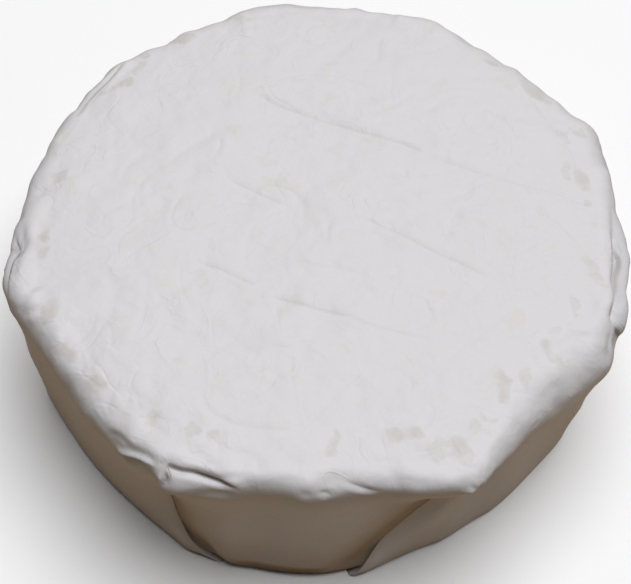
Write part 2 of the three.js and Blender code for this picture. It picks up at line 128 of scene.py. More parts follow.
# Creases in the top, given in the same way.
TOP_CREASES = [
    ([(-17, 27.6), (-14.5, 28.5), (-9.5, 31.3), (-6, 32.8), (0, 33.1), (4.8, 32), (8.2, 31)],
     0.5, 0.16, 0.06, 0.1, 0.08),
    ([(8.2, -33), (5, -36.3), (1, -42), (-2.2, -44.8)], 0.6, 0.2, 0.1, 0.1, 0.06),
    ([(34.6, -19), (31, -22.5), (25.7, -27.6), (19.6, -32.9)], 0.7, 0.2, 0.1, 0, 0.06),
    ([(37.6, 2.5), (42, -0.4), (44.4, -3.5), (46.6, -6.8)], 0.6, 0.25, 0.1, 0.1, 0.1),
    ([(-41.8, 23.5), (-37.5, 21), (-32.6, 18.3)], 0.4, -0.15, 0, 0, 0),
    ([(11.4, 45.6), (10.4, 40.6), (10.3, 36)], 0.9, 0.3, 0.1, 0, 0.12),
    ([(-14.8, -34.3), (-10.8, -33), (-6.6, -33.8), (-4.4, -36.6)], 0.6, 0.15, 0.1, 0, 0.06),
    ([(-18.6, -38), (-17.5, -41), (-15.7, -42.7), (-11.7, -44.3), (-7, -45), (-2.2, -44.4)],
     0.6, 0.22, 0.1, 0.1, 0.08),
    ([(-29.8, -14.8), (-29, -19), (-29.2, -23), (-30.3, -29), (-30.8, -31)], 0.6, 0.14, 0.08, 0, 0.06),
    ([(-28, 9), (-25.5, 12.7), (-21.2, 16.5), (-17.5, 18)], 0.9, 0.24, 0.1, 0, 0.07),
    ([(-24.7, 3.2), (-26.2, -0.3), (-26.8, -3.3), (-25.1, -5.5), (-22.7, -5.6), (-21.3, -3.9)],
     0.45, 0.2, 0.12, 0, 0.15),
    ([(-17.6, 0.8), (-13.7, 0.9), (-10.6, -0.1)], 0.4, 0.14, 0.08, 0, 0.08),
    ([(-45.3, -8.8), (-42.7, -11), (-40, -10.9), (-38.4, -9.7)], 0.5, 0.2, 0.1, 0, 0.08),
    ([(-19.7, 43.5), (-20.6, 39), (-21.4, 34)], 0.4, -0.16, 0, 0, 0),
    ([(-18.6, 42), (-19.6, 37.6), (-20.9, 33.4)], 0.4, -0.14, 0, 0, 0),
    ([(39, 30.5), (41.2, 26.5), (43.1, 22), (45, 19.4), (45.6, 17), (46.6, 14.2), (46.5, 10.5)],
     0.6, 0.3, 0.15, 0.1, 0.1),
    ([(23.2, 34.4), (21, 31.5), (19.1, 28.7)], 0.8, 0.22, 0.1, 0, 0.08),
    ([(17.2, 29.9), (14.3, 25.9), (11.5, 24.5), (6.7, 23.1)], 0.8, 0.16, 0.1, 0, 0.06),
    ([(7.5, -41.6), (8.3, -39.7), (8, -37.8)], 0.6, 0.18, 0.1, 0, 0.08),
    ([(17.1, -45.6), (18.8, -41.2), (21.3, -38.3)], 0.7, 0.2, 0.1, 0, 0.06),
    ([(3.9, -44.5), (3.2, -48.8), (3.5, -51)], 0.7, 0.3, 0.1, 0, 0.12),
    ([(-8.6, -48.5), (-8.5, -51), (-7.8, -52.6)], 0.7, 0.25, 0.1, 0, 0.1),
    ([(-24, -12), (-23.5, -18), (-21.5, -22), (-19.5, -24.5)], 0.5, 0.16, 0.08, 0, 0.08),
    ([(-3.5, 3.5), (-2.6, -1.5), (-3, -6)], 0.6, 0.18, 0.08, 0, 0.06),
    ([(-11, 5.5), (-6.5, 5), (-3.6, 2.6), (-4.5, 0.6)], 0.45, 0.16, 0.1, 0, 0.1),
    ([(0.8, 0.5), (1.6, -4), (1.2, -9)], 0.7, 0.16, 0.08, 0, 0.05),
    ([(-11.5, -2.5), (-12.8, -8), (-12.4, -13)], 0.7, 0.16, 0.08, 0, 0.05),
    ([(30.5, 8), (32.8, 3.5), (33.2, -0.5)], 0.45, -0.14, 0, 0, 0),
    ([(35.4, 4.8), (36.6, 1), (36.2, -3.4)], 0.6, 0.16, 0.08, 0, 0.06),
    ([(-37, 3), (-35.6, 8.6), (-32.4, 13.5)], 0.8, 0.2, 0.1, 0, 0.05),
    ([(-33, -3.6), (-34.2, 1.6), (-31.8, 6.5), (-29.6, 8.5)], 0.5, 0.16, 0.1, 0, 0.06),
    ([(-20.5, 10.5), (-18.7, 13.6), (-19.6, 17.6)], 0.45, 0.16, 0.08, 0, 0.1),
    ([(14, -32), (16.5, -35.5), (15.2, -39)], 0.5, 0.16, 0.1, 0, 0.07),
    ([(24, -24), (26.5, -28), (29.5, -29.5)], 0.5, 0.16, 0.08, 0, 0.07),
    ([(29, 27), (33, 24.6), (36, 20.6), (36.4, 17)], 0.6, 0.16, 0.1, 0, 0.06),
    ([(25.6, 24), (27.2, 20.4), (31, 18.6)], 0.5, 0.14, 0.08, 0, 0.06),
]

# Creases over the rim and down the side: points (angle, place on the rim's rounding), which past 90 go
# down the side at ROLL_RATE degrees a millimetre, then the same five sizes.
RIM_CREASES = [
    ([(-128, 72), (-125.8, 60), (-123.4, 50), (-121, 45), (-118.5, 37), (-115.4, 33), (-113.9, 30)],
     0.9, 0.15, 0, 0.6, 0.05),
    ([(-115.9, 34), (-114.6, 31.5), (-112.4, 27), (-109.7, 27), (-107.5, 32), (-105.7, 39), (-104.2, 48),
      (-102.3, 59), (-101.2, 66)], 0.8, 0.7, 0, 1, 1),
    ([(-125.5, 94), (-122.9, 80), (-120.9, 66), (-118.8, 54), (-117, 48), (-114.8, 43)], 0.5, -0.9, 0, 0, 0),
    ([(-123.1, 92), (-121.3, 79), (-119.7, 72), (-117.4, 65), (-115.2, 63), (-113.6, 66)],
     0.5, 0.1, 0, 0.8, 0.1),
    ([(-114.3, 36), (-113.7, 47), (-113.3, 60), (-113.8, 80)], 0.5, 0.75, 0.45, 0, 0.45),
    ([(-86.5, 4), (-86.2, 24), (-85.6, 44), (-84.5, 70)], 2.2, 0.55, 0, 0, 0),
    ([(-84.8, 32), (-83.2, 46), (-80.6, 66), (-77.8, 76)], 0.5, 0.4, 0.2, 0, 0.2),
    ([(-89, 56), (-87.4, 66), (-85.9, 78)], 0.5, 0.4, 0.25, 0, 0.15),
    ([(-92, 58), (-90.6, 68), (-89.6, 80)], 0.6, 0.25, 0.1, 0, 0),
    ([(-66.5, 84), (-64.6, 78), (-62.6, 82)], 0.7, -0.5, 0, 0, 0),
    ([(-63.4, 84), (-63.9, 72), (-64.8, 60)], 0.45, 0.14, 0.1, 0, 0),
    ([(-62.8, 86), (-62.5, 74), (-62, 62)], 0.45, 0.12, 0.1, 0, 0),
    ([(-61.6, 112), (-61.8, 90), (-62, 76)], 0.6, 0, 0, 0.5, 0),
    ([(-160, 84), (-160.4, 66), (-161, 56), (-163, 50), (-166.5, 46), (-169.2, 52)], 0.5, -0.3, 0, -0.6, 0),
    ([(-173.5, 60), (-169.2, 52), (-165.5, 46), (-163, 50), (-161, 56), (-160.4, 66), (-160, 84)],
     0.5, 0.6, 0, 0, 0.45),
    ([(-169, 47), (-169.8, 62), (-170.3, 80)], 0.7, 0.4, 0, 0, 0.25),
    ([(-172, 18), (-169.8, 25), (-168.9, 36)], 0.8, 0.4, 0.1, 0, 0.15),
    ([(-165.1, 62), (-165.3, 80), (-165.5, 95)], 0.5, 0.4, 0.1, 0, 0.25),
    ([(-177.5, 46), (-176, 66)], 0.7, 0.4, 0, 0, 0),
    ([(179, 6), (177.4, 16), (175, 26)], 1.5, 0.5, 0, 0, 0.06),
    ([(-22.9, 45), (-21.6, 39), (-20, 36), (-17.6, 42), (-13.7, 54), (-9, 60), (-5.8, 45), (-1, 28)],
     0.5, 0.5, 0.2, 0, 0.4),
    ([(-22.6, 42), (-20.3, 36), (-18.4, 40)], 0.5, 0.4, 0, 0, 0.9),
    ([(-22.9, 45), (-22.6, 66), (-22, 96)], 0.5, 0.5, 0, 0.6, 0.6),
    ([(-22.8, 44), (-25.2, 46), (-27.3, 50), (-28.5, 70)], 0.6, 0.3, 0, 0.3, 0.1),
    ([(157, 26), (153, 24), (147, 26), (143, 22), (137.6, 30)], 0.5, 0.35, 0.1, 0.2, 0.25),
    ([(154, 4), (148, 12), (143.5, 10)], 0.5, 0.2, 0.1, 0, 0.08),
]
CREASE_ENDS = 3.0  # length over which a crease fades out at either end
TOP_STRENGTH = 0.5  # how pronounced the creases in the top are
TOP_REACH = 1.8  # how far beside a crease in the top the paper lies lower
RIM_REACH = 4.5  # and beside one over the rim
WAVER = 0.25  # how far a crease strays from its line, and the size of its bends
WAVER_SIZE = 3.5
UNEVEN = 0.4  # how much a crease's depth changes along it, and over what size
UNEVEN_SIZE = 4.0
SHADE_SHARE = 0.75  # half-width of a crease's dark line of painted shade, as a share of its groove's
CREASE_FAR = 3.4  # what stands for far from any crease, in such half-widths

# Painted shade round the rim, greying the paper where the rim rounds over to the side.
RIM_SHADE = 0.6  # how strong it is, up to 1
RIM_SHADE_SLOPES = (15.0, 60.0)  # places on the rim's rounding between which it sets in
RIM_SHADE_HEIGHTS = (28.0, 33.0)  # heights up the side between which it does so
SHADED_STRETCHES = [(-12, 36, 0.9), (140, 202, 1.0)]  # stretches where it is stronger and patchy: from, to, how strong
SHADED_STRETCH_SLOPES = (0.0, 60.0)
SHADED_STRETCH_END = 10.0  # length of either end of such a stretch
SHADED_STRETCH_PATCHES = (0.8, 0.5, 5.0)  # how strong it is there, how much that changes, and over what size

# Fine relief of the paper on the rind: how high its lumps and puckers are, and how deep its creases.
TURNED_UP = (0.3, 0.8)  # from the side to the top, by the upward part of the way the form faces
TOP_LUMPS = 0.18
TOP_SMALL_LUMPS = 0.1
WINDING_CREASES = 0.105  # in patches, with finer ones between them
FINER_CREASES = 0.095
SIDE_LUMPS = 0.2
SIDE_PUCKERS = 0.06
SIDE_HEIGHTS = (2, 8)  # heights over which they begin above the foot
RIM_LUMPS = 0.5
RIM_FINER_LUMPS = 0.22
RIM_PUCKERS = 0.45
RIM_HEIGHTS = (27, 33)
RIM_BAND = 5
SIDE_CRUMPLED = 0.4  # how crumpled the smooth side is, against the top, and where it becomes the top
CRUMPLED_TURN = (0.0, 0.5)
# Sizes of that relief.
LUMP_SIZE = 5.5
SMALL_LUMP_SIZE = 2.2
SIDE_LUMP_SIZE = 11.0
PUCKER_SIZE = 4.0
WINDING_SIZE = 5.0
FINER_SIZE = 2.6
WINDING_WIDTH = 0.2  # share of the noise's range that a crease takes
FINER_WIDTH = 0.25
DRIFT_SIZE = 9.0  # size of the drift that makes the creases wind, and how far it takes them
WINDING_DRIFT = 5.0
FINER_DRIFT = 3.0
# Where it is patchy: how strong it is on the whole, how much that changes, and over what size.
CREASED_PATCHES = (0.55, 0.45, 12.0)
PUCKER_PATCHES = (0.6, 0.4, 9.0)

# Damp patches, where the cheese shows through the paper.
DAMP_LEVEL = HEIGHT - 1  # the height of a patch's middle, and how far down the rim it reaches from there
DAMP_DROP = 4.0
DAMP_SPREAD = 0.8  # what its ragged edge adds to its length and width
DAMP_STRAY = 0.7  # how far its outline strays from an oval, and the size of its bends
DAMP_STRAY_SIZE = 1.8
# Each patch: its middle (x, y), length, width, the way the length lies, and how damp it is, up to 1.
DAMP_PATCHES = [
    (48, 21.5, 3.2, 2, -55, 0.5), (45, 20.5, 4.5, 1, -65, 0.35), (47.8, 9.5, 5.5, 2.2, -75, 0.8),
    (44.8, 11.4, 4.5, 1.2, 80, 0.35), (48.2, 4.3, 1.2, 1, 0, 0.6), (47, -9.2, 2.4, 1.6, 0, 0.15),
    (48.2, -10.5, 3.2, 1.8, -80, 0.3), (49, -12.8, 2.6, 1.4, -60, 0.2), (44, -19, 3.8, 1.1, -75, 0.35),
    (40.5, -23.5, 2.2, 0.9, 0, 0.35), (39, -26.4, 1.8, 1.2, -60, 0.5), (40, -28.8, 3, 1.5, -60, 0.2),
    (34.6, -32.8, 3.2, 2.1, 75, 0.5), (31.1, -35.3, 5, 1.8, -82, 0.8), (26, -42.5, 2.8, 1.3, 85, 0.5),
    (28.2, -40.6, 2.4, 0.8, -25, 0.2), (23, -46.6, 5, 3.2, -30, 0.9), (20.8, -47.3, 3.6, 2, 10, 0.3),
    (13.3, -45, 2.8, 2, 0, 1), (16, -44.6, 2.4, 1.4, 20, 0.6), (3.3, -46.8, 3.6, 1.2, 88, 0.3),
    (-15.9, -46.4, 1.9, 1.2, 90, 0.35), (-19, -45.4, 1.9, 1.6, 0, 0.4), (-26.3, -43, 2.6, 1.5, 10, 1),
    (-35.8, -37, 3.4, 2.8, -45, 1), (-41.5, -30.6, 4, 2.4, -30, 0.9), (-45.3, -23.5, 5.4, 2, 75, 0.9),
    (-48, -19.1, 1.7, 1.2, 0, 0.3), (-48.4, -7.5, 1.6, 1.4, 0, 0.6), (-48, -11.5, 2.9, 1.4, 80, 0.45),
    (-48, 6.2, 2.8, 2.2, 50, 1), (-38.3, 30.1, 3, 1.8, 30, 1), (-36.6, 34.2, 4.4, 1.2, 65, 0.5),
    (-35.3, 38, 1.6, 1.4, 0, 0.5), (-41.6, 27.8, 4, 0.9, 25, 0.3), (-28.2, 42.4, 3.4, 1.8, 15, 0.7),
    (-17, 48, 2.2, 2, 10, 0.3), (33, 38.8, 2.4, 1.6, -40, 0.8), (41, 31, 4.4, 2.6, -50, 1),
    (38.5, 33.8, 3, 1.2, -45, 0.2),
]

# -------------------- free edges and folds of the paper
FOLD_MEET = 0.6  # share of the foot's radius at which two neighbouring flaps meet underneath
FOLD_SLIT = 0.1  # share of a tucked panel's width that is left there
UNDER_FLAP = 2.6  # degrees by which a panel carries on under a flap's free edge
LIP = 0.2  # thickness of the doubled paper at a free edge
UPPER_LIP = 0.2  # share of it by which the upper edge of the lip lies lower
HOLLOW_FOOT = 7.0  # height over which the hollow grows from its share at the foot
HOLLOW_FOOT_SHARE = 0.35
EDGE_DIP_WIDTH = 3.2  # how much of the flap bends in towards the panel at its free edge
EDGE_DIP_START = (1.0, 10.0)  # heights between which that bend begins

# Painted shade in the folds and along the foot, by how deep in a fold the paper lies: 0 outside, 1 in it,
# and more where it is darkest.
FLAP_SHADE = 0.35  # at a flap's own edge, and how far that reaches
FLAP_SHADE_WIDTH = 1.2
PANEL_SHADE = 1.15  # on a tucked panel, where it reaches further than the hollow, by this factor
PANEL_SHADE_REACH = 1.5
FOOT_SHADE = 1.7  # along the foot of a tucked panel, the heights between which that ends,
FOOT_SHADE_FADE = (3.2, 5.4)
FOOT_SHADE_ENDS = (1.0, 9.0)  # and the distances from a free edge between which it begins
FOOT_DUSK = 0.45  # and more faintly above it
FOOT_DUSK_FADE = (4.0, 16.0)

# -------------------- how finely the paper is divided
GRID_HALF = 96  # squares of the top's grid from its middle to its edge
COLUMNS = 8 * GRID_HALF
PANEL_COLUMNS = 92
FLAP_COLUMNS = COLUMNS // len(PANELS) - PANEL_COLUMNS
EDGE_CROWDING = 0.35  # how much closer the columns lie beside a free edge
HAIR = 0.06  # degrees between columns that lie together
RIM_ROWS = 26
SIDE_ROWS = 32
FOOT_ROWS = 6
BASE_RINGS = 8
PATCH_SHARE = 0.36  # share of the foot's radius where the underside's rings end

# -------------------- helpers
# Large odd numbers that scatter the cells of the lattice, for lattice_noise.
SCATTER = (73856093, 19349663, 83492791)
SEED_SCATTER = 2654435761
LAST_SCATTER = 1274126177


def bell(distance, width):
    return np.exp(-((distance / width) ** 2))


def ramp(value, low, high):
    share = np.clip((value - low) / (high - low), 0, 1)
    return share * share * (3 - 2 * share)


def within(value, low, high, low_end, high_end):
    return ramp(value, low, low + low_end) * (1 - ramp(value, high - high_end, high))


def turn_between(a, b):
    return (a - b + 180) % 360 - 180


def lattice_noise(points, size, seed):
    """Smooth noise from -1 to 1 at an N x 3 array of points, with lumps of about the given size."""
    scaled = points / size + 1000.0
    cell = np.floor(scaled).astype(np.int64)
    part = scaled - cell
    part = part * part * (3 - 2 * part)
    total = np.zeros(len(points))
    for corner in np.ndindex(2, 2, 2):
        at = cell + corner
        mixed = at[:, 0] * SCATTER[0] ^ at[:, 1] * SCATTER[1] ^ at[:, 2] * SCATTER[2] ^ seed * SEED_SCATTER
        mixed = (mixed ^ (mixed >> 13)) * LAST_SCATTER & 0xFFFFFFFF
        value = ((mixed ^ (mixed >> 16)) & 0xFFFF) / 32767.5 - 1
        weight = np.prod(np.where(corner, part, 1 - part), axis=1)
        total += weight * value
    return total


def patches(points, middle, change, size, seed):
    """A share that changes by so much either way of its middle, over patches of the given size."""
    return middle + change * lattice_noise(points, size, seed)


# -------------------- outline of the side


def round_radius(angle, drop):
    """The side's radius with its swells and without its corners, at a share of the height below the rim."""
    radius = RADIUS + 0.0 * angle
    for i, (corner, _, _, _, swell, foot_swell) in enumerate(CORNERS):
        length = (CORNERS[(i + 1) % len(CORNERS)][0] - corner) % 360
        offset = turn_between(angle, corner + length / 2)
        radius = radius + (swell + (foot_swell - swell) * drop) * bell(offset, length / 2)
    for middle, width, swell, foot_swell in SWELLS:
        radius = radius + (swell + (foot_swell - swell) * drop) * bell(turn_between(angle, middle), width)
    return radius


def side_radius(angle, z):
    drop = 1 - z / HEIGHT
    round_part = round_radius(angle, drop)
    reach = round_part
    soft = math.radians(CORNER_SOFTNESS)
    for corner, at_rim, at_foot, fade, _, _ in CORNERS:
        tip = at_rim + (at_foot - at_rim) * ramp(drop, 0, fade)
        spread = soft + np.arccos(np.minimum(1, round_part / tip))
        rounded = np.hypot(np.radians(turn_between(angle, corner)), soft)
        reach = np.maximum(reach, round_part / np.cos(np.maximum(0, spread - rounded)))
    wave = sum(h * np.sin(turns * (np.radians(angle) + drop / 2)) for h, turns in SIDE_WAVES)
    return reach - FOOT_INSET * drop + wave * ramp(drop, 0, SIDE_WAVE_START)


def rim_round(angle):
    size = PANEL_RIM_ROUND + 0.0 * angle
    for low, high, flap_round in RIM_ROUNDS:
        half = (high - low) / 2
        away = np.abs(turn_between(angle, low + half))
        size = size + (flap_round - PANEL_RIM_ROUND) * (1 - ramp(away, half, half + SHARE_FADE))
    return size


# -------------------- free edges of the flaps


def edge_angle(edge, z, direction):
    """The angle of a free edge at height z, where direction is 1 for a left edge and -1 for a right."""
    start, sweep, top, bend = edge[:4]
    return start + direction * sweep * np.clip(1 - z / top, 0, 1) ** bend


def edge_shows(edge, z):
    return 1 - ramp(z, edge[2], edge[2] + EDGE_FADE)


class Columns:
    """The columns of points at one level: their angles, what each one belongs to, and how many
    millimetres it lies from the first and the last free edge of its panel or flap."""

    def __init__(self, z, inward=0.0):
        self.overlap = UNDER_FLAP * float(1 - ramp(inward, 0, 1 - FOLD_MEET))
        narrowing = max(FOLD_SLIT, 1 - (1 - FOLD_SLIT) * inward / (1 - FOLD_MEET))
        edges = []
        for left, right in PANELS:
            low, high = edge_angle(left, z, 1), edge_angle(right, z, -1)
            middle = (low + high) / 2
            edges.append((middle + (low - middle) * narrowing, middle + (high - middle) * narrowing))
        self.angle, self.first, self.last, self.lip = [], [], [], []
        self.tucked, self.edges = [], []
        for i, (low, high) in enumerate(edges):
            following = (i + 1) % len(PANELS)
            flap_end = edges[following][0] + (0 if following else 360)
            left, right = PANELS[i]
            self.add_panel(low, high, left, right, z)
            self.add_flap(high, flap_end, right, PANELS[following][0], z)
        self.angle = np.array(self.angle)
        self.first = np.array(self.first)
        self.last = np.array(self.last)
        self.lip = np.array(self.lip)
        self.tucked = np.array(self.tucked)

    def add(self, angles, low, high, left, right, lips, tucked):
        self.angle.extend(angles)
        self.first.extend(np.radians(np.maximum(0, angles - low)) * RADIUS)
        self.last.extend(np.radians(np.maximum(0, high - angles)) * RADIUS)
        self.lip.extend(lips)
        self.tucked.extend([tucked] * len(angles))
        self.edges.extend([(left, right)] * len(angles))

    def spread(self, low, high, count):
        share = np.linspace(0, 1, count)
        crowded = share - EDGE_CROWDING / (2 * math.pi) * np.sin(2 * math.pi * share)
        return low + (high - low) * crowded

    def add_panel(self, low, high, left, right, z):
        """A tucked panel, which carries on a little under both flaps."""
        under_left = self.overlap * edge_shows(left, z)
        under_right = self.overlap * edge_shows(right, z)
        middle = self.spread(low + 2 * HAIR, high - 2 * HAIR, PANEL_COLUMNS - 2)
        angles = np.concatenate([[low + HAIR - under_left], middle, [high - HAIR + under_right]])
        self.add(angles, low, high, left, right, [0] * len(angles), True)

    def add_flap(self, low, high, left, right, z):
        """A flap with a doubled free edge at both ends: underside, lower lip, upper lip."""
        under_left = self.overlap * edge_shows(left, z)
        under_right = self.overlap * edge_shows(right, z)
        start = [low + under_left, low + HAIR, low + 2 * HAIR]
        end = [high - 2 * HAIR, high - HAIR, high - under_right]
        middle = self.spread(low + 5 * HAIR, high - 5 * HAIR, FLAP_COLUMNS - 6)
        angles = np.concatenate([start, middle, end])
        lips = [1, 1, UPPER_LIP] + [0] * len(middle) + [UPPER_LIP, 1, 1]
        self.add(angles, low, high, left, right, lips, False)

    def edge_forms(self, z):
        """Hollow beside each free edge of a tucked panel, or a flap's own lift and lip, and how deep
        in a fold each point lies, which sets the painted shade there."""
        relief, fold = np.zeros(COLUMNS), np.zeros(COLUMNS)
        z = z + np.zeros(COLUMNS)
        for side, distance in ((0, self.first), (1, self.last)):
            edge = np.array([pair[side] for pair in self.edges])
            shows = 1 - ramp(z, edge[:, 2], edge[:, 2] + EDGE_FADE)
            deepness = HOLLOW_FOOT_SHARE + (1 - HOLLOW_FOOT_SHARE) * ramp(z, 0, HOLLOW_FOOT)
            hollow = -edge[:, 4] * deepness * bell(distance, edge[:, 5])
            dip = (edge[:, 4] + FLAP_LIFT - edge[:, 6]) * ramp(z, *EDGE_DIP_START)
            lift = FLAP_LIFT * bell(distance, FLAP_LIFT_WIDTH) - dip * bell(distance, EDGE_DIP_WIDTH)
            near = distance <= np.where(side == 0, self.last, self.first)
            relief += shows * (np.where(self.tucked, hollow, lift) - LIP * self.lip * near)
            on_flap = FLAP_SHADE * np.maximum(self.lip * near, bell(distance, FLAP_SHADE_WIDTH))
            on_panel = PANEL_SHADE * bell(distance, PANEL_SHADE_REACH * edge[:, 5])
            deep = np.where(self.tucked, on_panel, on_flap)
            fold = np.maximum(fold, shows * deep)
        from_edges = ramp(np.minimum(self.first, self.last), *FOOT_SHADE_ENDS)
        at_foot = FOOT_SHADE * from_edges * (1 - ramp(z, *FOOT_SHADE_FADE))
        at_foot = np.maximum(at_foot, FOOT_DUSK * (1 - ramp(z, *FOOT_DUSK_FADE)))
        return relief, np.maximum(fold, self.tucked * at_foot)


# -------------------- relief of the rim and of the top


def pleat_relief(angle, slope):
    relief = 0.0 * angle
    for low, high, low_end, high_end, crease, sunk, roll, raised in PLEATS:
        half = (high - low) / 2
        shows = within(turn_between(angle, low + half), -half, half, low_end, high_end)
        profile = raised * bell(slope - roll, ROLL_WIDTH) - sunk * bell(slope - crease, HOLLOW_WIDTH)
        relief = relief + shows * profile
    return relief


def top_height(x, y, share):
    waves = 0.0 * x
    for height, length in TOP_WAVES:
        turn = 2 * math.pi / length
        waves = waves + height * np.sin(turn * (x + y / 2)) * np.cos(turn * (y - x / 3))
    shoulder = SHOULDER_DROP * share**SHOULDER_POWER
    return HEIGHT - shoulder + waves * (1 - share**4)


# -------------------- the paper's surface, row by row


def polar(angle, radius, z):
    turn = np.radians(angle)
    return np.stack([radius * np.cos(turn), radius * np.sin(turn), z + 0.0 * angle], axis=1)


def rim_form(angle, slope):
    """Radius and height of the bare rim at a place on its rounding, which past 90 is on the side."""
    size = rim_round(angle)
    turn = math.radians(min(slope, 90))
    z = HEIGHT - size * (1 - math.cos(turn)) - SHOULDER_DROP * math.cos(turn) ** 2
    z = z - max(0, slope - 90) / ROLL_RATE
    return side_radius(angle, z) - size * (1 - math.sin(turn)), z


# Each row is its points, the way the wheel's plain form faces there, and how deep in a fold they lie, which
# sets the painted shade there.


def rim_row(columns, slope):
    """The row on the rim's rounding at a slope from 0, on the top, to 90, on the side."""
    angle = columns.angle
    radius, z = rim_form(angle, slope)
    relief = pleat_relief(angle, slope)
    sideways, upwards = math.sin(math.radians(slope)), math.cos(math.radians(slope))
    place = polar(angle, radius + relief * sideways, z + relief * upwards)
    return place, polar(angle, sideways, upwards), np.zeros(COLUMNS)


def side_row(columns, share):
    angle = columns.angle
    foot = np.where(columns.tucked, PANEL_FOOT[0], FLAP_FOOT[0])
    top = HEIGHT - rim_round(angle)
    z = top + (foot - top) * share
    relief, fold = columns.edge_forms(z)
    relief += pleat_relief(angle, 90 + (top - z) * ROLL_RATE)
    return polar(angle, side_radius(angle, z) + relief, z), polar(angle, 1, 0), fold


def foot_row(columns, slope):
    height = np.where(columns.tucked, PANEL_FOOT[0], FLAP_FOOT[0])
    depth = np.where(columns.tucked, PANEL_FOOT[1], FLAP_FOOT[1])
    z = height * (1 - math.sin(slope))
    relief, fold = columns.edge_forms(z)
    radius = side_radius(columns.angle, z) + relief * math.cos(slope / 2) - depth * (1 - math.cos(slope))
    lift = np.where(columns.tucked, FOLD_RECESS * math.sin(slope), 0)
    facing = polar(columns.angle, math.cos(slope), -math.sin(slope))
    return polar(columns.angle, radius, z + lift), facing, fold


def base_row(columns, share):
    shows = float(ramp(share, FOLD_MEET, 1))
    radius = share * (side_radius(columns.angle, 0) - FLAP_FOOT[1])
    lift = np.where(columns.tucked, FOLD_RECESS * shows, 0)
    fold = np.where(columns.tucked, shows, 0)
    return polar(columns.angle, radius, lift), polar(columns.angle, 0, -1), fold


def grid_place(half):
    """Ring and share round the ring of every point of a square grid drawn out to a disc."""
    i, j = np.meshgrid(np.arange(-half, half + 1), np.arange(-half, half + 1), indexing="ij")
    ring = np.maximum(np.abs(i), np.abs(j))
    step = j + ring
    step = np.where(j == ring, 3 * ring - i, step)
    step = np.where(i == -ring, 5 * ring - j, step)
    step = np.where((j == -ring) & (i < ring), 7 * ring + i, step)
    return ring, (step / np.maximum(1, 8 * ring)) % 1


def top_points(rim_columns):
    """The top's points, drawn out so that the outermost ones lie on the rim's columns."""
    ring, share = grid_place(GRID_HALF)
    out = ring / GRID_HALF
    place = share * COLUMNS
    ends = np.append(rim_columns.angle, rim_columns.angle[0] + 360)
    at_rim = np.interp(place, np.arange(COLUMNS + 1), ends)
    even = rim_columns.angle[0] + 360 * share
    angle = even + (at_rim - even) * out**2
    radius = out * (side_radius(angle, HEIGHT) - rim_round(angle))
    x, y = radius * np.cos(np.radians(angle)), radius * np.sin(np.radians(angle))
    return x, y, top_height(x, y, out), ring, share


def top_grid(rim_columns):
    """The top's points inside the rim, and its faces, whose outermost points are the rim's first row."""
    x, y, z, ring, share = top_points(rim_columns)
    inside = ring < GRID_HALF
    count = int(inside.sum())
    index = np.full(ring.shape, -1)
    index[inside] = np.arange(count)
    index[~inside] = count + np.round(share[~inside] * COLUMNS).astype(int) % COLUMNS
    quads = np.stack([index[:-1, :-1], index[1:, :-1], index[1:, 1:], index[:-1, 1:]], axis=-1)
    return np.stack([x[inside], y[inside], z[inside]], axis=1), quads.reshape(-1, 4)


def wall_rows(rim_columns):
    """The rows from the top's edge over the rim, down the side and in under the foot."""
    rows = [rim_row(rim_columns, 0.0)]
    middle_foot = (FLAP_FOOT[0] + PANEL_FOOT[0]) / 2
    for i in range(1, RIM_ROWS + 1):
        slope = 90 * i / RIM_ROWS
        level = HEIGHT - MIDDLE_RIM_ROUND * (1 - math.cos(math.radians(slope)))
        rows.append(rim_row(Columns(level), slope))
    for i in range(1, SIDE_ROWS + 1):
        share = i / SIDE_ROWS * (1 + i / SIDE_ROWS) / 2
        level = HEIGHT - MIDDLE_RIM_ROUND + (middle_foot - HEIGHT + MIDDLE_RIM_ROUND) * share
        rows.append(side_row(Columns(level), share))
    for i in range(1, FOOT_ROWS + 1):
        slope = math.radians(90 * i / FOOT_ROWS)
        rows.append(foot_row(Columns(middle_foot * (1 - math.sin(slope))), slope))
    for i in range(1, BASE_RINGS + 1):
        share = 1 - (1 - PATCH_SHARE) * i / BASE_RINGS
        rows.append(base_row(Columns(0.0, 1 - share), share))
    return rows


def wall_faces(first, row_count):
    """The faces between the rows, whose points start at first, and those to the underside's middle."""
    column = np.arange(COLUMNS)
    after = (column + 1) % COLUMNS
    faces = []
    for i in range(row_count - 1):
        upper, lower = first + i * COLUMNS, first + (i + 1) * COLUMNS
        faces.append(np.stack([upper + column, lower + column, lower + after, upper + after], axis=1))
    last = first + (row_count - 1) * COLUMNS
    middle = np.full(COLUMNS, last + COLUMNS)
    faces.append(np.stack([last + column, middle, last + after, last + after], axis=1))
    return faces


def build_mesh():
    """The points in millimetres about the wheel's axis, how each one faces, its fold, which sets the painted
    shade, and the faces.
    """
    rim_columns = Columns(HEIGHT)
    top, top_faces = top_grid(rim_columns)
    walls = wall_rows(rim_columns)
    top_row = (top, np.tile((0.0, 0.0, 1.0), (len(top), 1)), np.zeros(len(top)))
    middle_row = (np.zeros((1, 3)), np.array([(0.0, 0.0, -1.0)]), np.zeros(1))
    points, facing, fold_shades = (np.concatenate(parts) for parts in zip(top_row, *walls, middle_row))
    return points, facing, fold_shades, np.concatenate([top_faces] + wall_faces(len(top), len(walls)))


# -------------------- fine relief, raised the way the form faces


def cut_corners(line):
    """The line with its corners rounded off and its two ends kept."""
    line = np.array(line, dtype=float)
    for _ in range(2):
        inner = np.stack([0.75 * line[:-1] + 0.25 * line[1:], 0.25 * line[:-1] + 0.75 * line[1:]], axis=1)
        line = np.concatenate([line[:1], inner.reshape(-1, line.shape[1]), line[-1:]])
    return line


